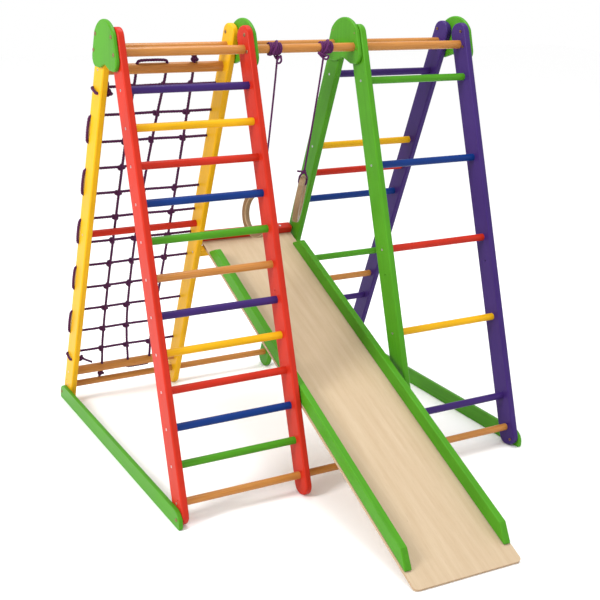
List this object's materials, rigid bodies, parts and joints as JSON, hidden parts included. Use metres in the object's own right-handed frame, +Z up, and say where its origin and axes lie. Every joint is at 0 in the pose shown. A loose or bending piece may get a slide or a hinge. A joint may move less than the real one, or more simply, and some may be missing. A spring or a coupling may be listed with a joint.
{
  "type": "toddler climbing frame with slide",
  "caption": "Indoor wooden climbing frame: ladder and rope-net A-frames joined by bars, with a railed plywood slide and hanging gym rings between them.",
  "frame": {"origin": "centre of the footprint on the floor", "axes": "+X along the rungs towards the purple legs, +Y from the slide's foot towards the back, +Z up"},
  "size_m": [1.414, 1.7986, 1.527],
  "materials": {
    "red_paint": "gloss paint",
    "yellow_paint": "gloss paint",
    "green_paint": "gloss paint",
    "purple_paint": "gloss paint",
    "blue_paint": "gloss paint",
    "varnished_beech": "clear varnish",
    "birch_plywood": "satin varnish",
    "ring_plywood": "clear varnish",
    "net_rope": "matt",
    "ring_cord": "matt",
    "zinc_screws": "zinc plated",
    "brass_bolts": "plated"
  },
  "bodies": {
    "frame": {"frame_bolts": "brass_bolts", "frame_nuts": "brass_bolts", "green_stile_front": "green_paint", "green_stile_rear": "green_paint", "joining_studs": "zinc_screws", "left_base_bar": "green_paint", "left_bottom_rungs": "varnished_beech", "left_inner_plate": "green_paint", "left_outer_plate": "green_paint", "left_rungs_blue": "blue_paint", "left_rungs_green": "green_paint", "left_rungs_natural": "varnished_beech", "left_rungs_purple": "purple_paint", "left_rungs_red": "red_paint", "left_rungs_yellow": "yellow_paint", "left_top_bars": "varnished_beech", "net_bars": "varnished_beech", "net_knots": "net_rope", "net_lacing_rope": "net_rope", "net_upright_rope": "net_rope", "purple_stile_front": "purple_paint", "purple_stile_rear": "purple_paint", "rear_bay_bar": "varnished_beech", "red_stile_left": "red_paint", "red_stile_right": "red_paint", "right_base_bar": "green_paint", "right_bottom_rungs": "varnished_beech", "right_inner_plate": "green_paint", "right_outer_plate": "green_paint", "right_rungs_blue": "blue_paint", "right_rungs_green": "green_paint", "right_rungs_natural": "varnished_beech", "right_rungs_purple": "purple_paint", "right_rungs_red": "red_paint", "right_rungs_yellow": "yellow_paint", "right_top_bars": "varnished_beech", "ring_bar": "varnished_beech", "rung_screws": "zinc_screws", "support_bar": "yellow_paint", "tie_bars": "varnished_beech", "yellow_stile_left": "yellow_paint", "yellow_stile_right": "yellow_paint"},
    "slide": {"slide_panel": "birch_plywood", "slide_rail_left": "green_paint", "slide_rail_right": "green_paint", "slide_head_bar": "red_paint", "slide_hook_cleat": "birch_plywood", "slide_screws": "zinc_screws"},
    "left_swing": {"left_bar_hitch": "ring_cord", "left_ring_rope": "ring_cord"},
    "left_hanging_ring": {"left_ring": "ring_plywood", "left_ring_loop": "ring_cord"},
    "right_swing": {"right_bar_hitch": "ring_cord", "right_ring_rope": "ring_cord"},
    "right_hanging_ring": {"right_ring": "ring_plywood", "right_ring_loop": "ring_cord"}
  },
  "joints": [
    {"name": "slide_lift", "type": "slide", "parent": "frame", "child": "slide", "axis": [0, 0, 1], "range_m": [0, 0.06]},
    {"name": "left_ring_swing", "type": "hinge", "parent": "frame", "child": "left_swing", "pos_m": [-0.1038, 0.2433, 1.43], "axis": [1, 0, 0], "range_deg": [-64, 46]},
    {"name": "left_ring_twist", "type": "hinge", "parent": "left_swing", "child": "left_hanging_ring", "pos_m": [-0.1038, 0.2433, 1.43], "axis": [0, 0.1513, -0.9885], "range_deg": [-180, 180]},
    {"name": "right_ring_swing", "type": "hinge", "parent": "frame", "child": "right_swing", "pos_m": [0.082, 0.2433, 1.43], "axis": [1, 0, 0], "range_deg": [-68, 42]},
    {"name": "right_ring_twist", "type": "hinge", "parent": "right_swing", "child": "right_hanging_ring", "pos_m": [0.082, 0.2433, 1.43], "axis": [0, 0.225, -0.9744], "range_deg": [-180, 180]}
  ]
}
